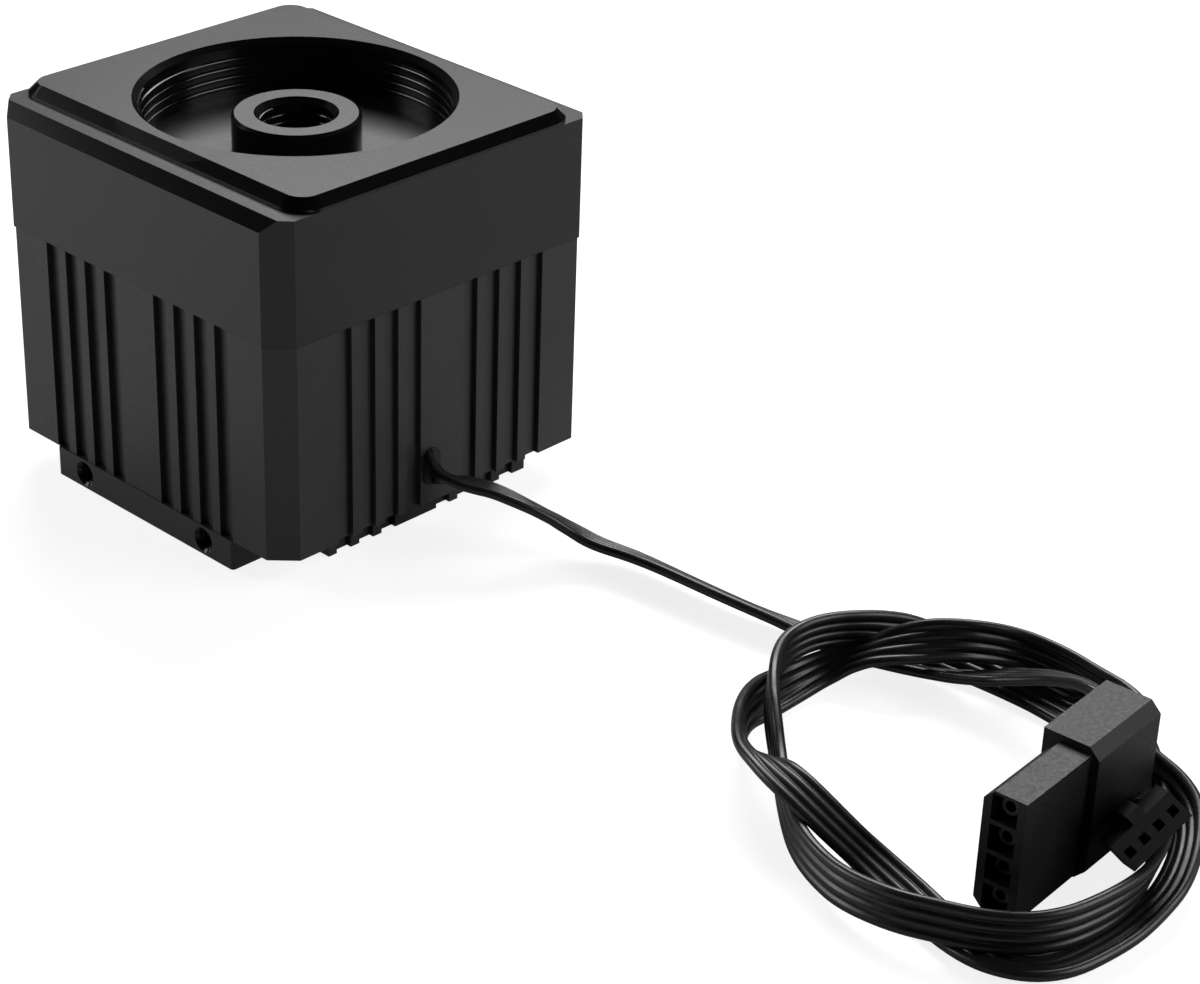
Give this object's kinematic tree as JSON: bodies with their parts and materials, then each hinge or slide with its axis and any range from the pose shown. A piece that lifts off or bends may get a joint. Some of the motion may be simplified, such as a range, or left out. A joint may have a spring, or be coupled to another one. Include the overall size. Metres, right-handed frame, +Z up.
{
  "type": "liquid cooling pump",
  "caption": "Black liquid cooling pump with a finned aluminium shell, a threaded reservoir seat on top and a looped lead with two connectors.",
  "frame": {"origin": "centre of the shell's footprint at the base plate's lower face, on the impeller's axis", "axes": "+Z up along the impeller's axis, +X towards the face that the lead leaves, -Y towards the mounting rail's face"},
  "size_m": [0.2064, 0.0717, 0.0636],
  "materials": {
    "cover_anodised": "satin",
    "shell_anodised": "satin",
    "rail_anodised": "satin",
    "screw_steel": "satin",
    "seal_rubber": "matte",
    "inner_plastic": "matte",
    "can_steel": "satin",
    "shaft_ceramic": "polished",
    "bush_carbon": "matte",
    "yoke_iron": "matte",
    "magnet_ferrite": "matte",
    "impeller_plastic": "matte",
    "core_laminations": "matte",
    "coil_copper": "gloss",
    "thermal_silicone": "matte",
    "board_laminate": "gloss",
    "chip_resin": "matte",
    "capacitor_can": "satin",
    "header_plastic": "matte",
    "gland_rubber": "matte",
    "lead_pvc": "satin",
    "plug_nylon": "satin",
    "contact_tin": "satin",
    "fan_plug_nylon": "satin"
  },
  "bodies": {
    "pump": {"pump_cover": "cover_anodised", "finned_shell": "shell_anodised", "base_plate": "shell_anodised", "mounting_rail": "rail_anodised", "cover_screws": "screw_steel", "base_screws": "screw_steel", "rail_screws": "screw_steel", "chamber_seal": "seal_rubber", "motor_plate": "inner_plastic", "separator_can": "can_steel", "pivot_shaft": "shaft_ceramic", "thrust_washer": "shaft_ceramic", "stator_core": "core_laminations", "stator_insulator": "inner_plastic", "stator_coils": "coil_copper", "thermal_pad": "thermal_silicone", "control_board": "board_laminate", "board_chips": "chip_resin", "board_capacitors": "capacitor_can", "lead_header": "header_plastic", "lead_gland": "gland_rubber", "lead_tube": "lead_pvc", "lead_coil": "lead_pvc", "power_tail": "lead_pvc", "signal_tail": "lead_pvc", "power_plug_body": "plug_nylon", "power_plug_collar": "plug_nylon", "power_plug_contacts": "contact_tin", "fan_plug_body": "fan_plug_nylon", "fan_plug_contacts": "contact_tin"},
    "rotor": {"rotor_bush": "bush_carbon", "rotor_yoke": "yoke_iron", "rotor_magnet": "magnet_ferrite", "impeller": "impeller_plastic"}
  },
  "joints": [
    {"name": "impeller_spin", "type": "hinge", "parent": "pump", "child": "rotor", "pos_m": [0, 0, 0.03], "axis": [0, 0, 1], "continuous": true}
  ]
}
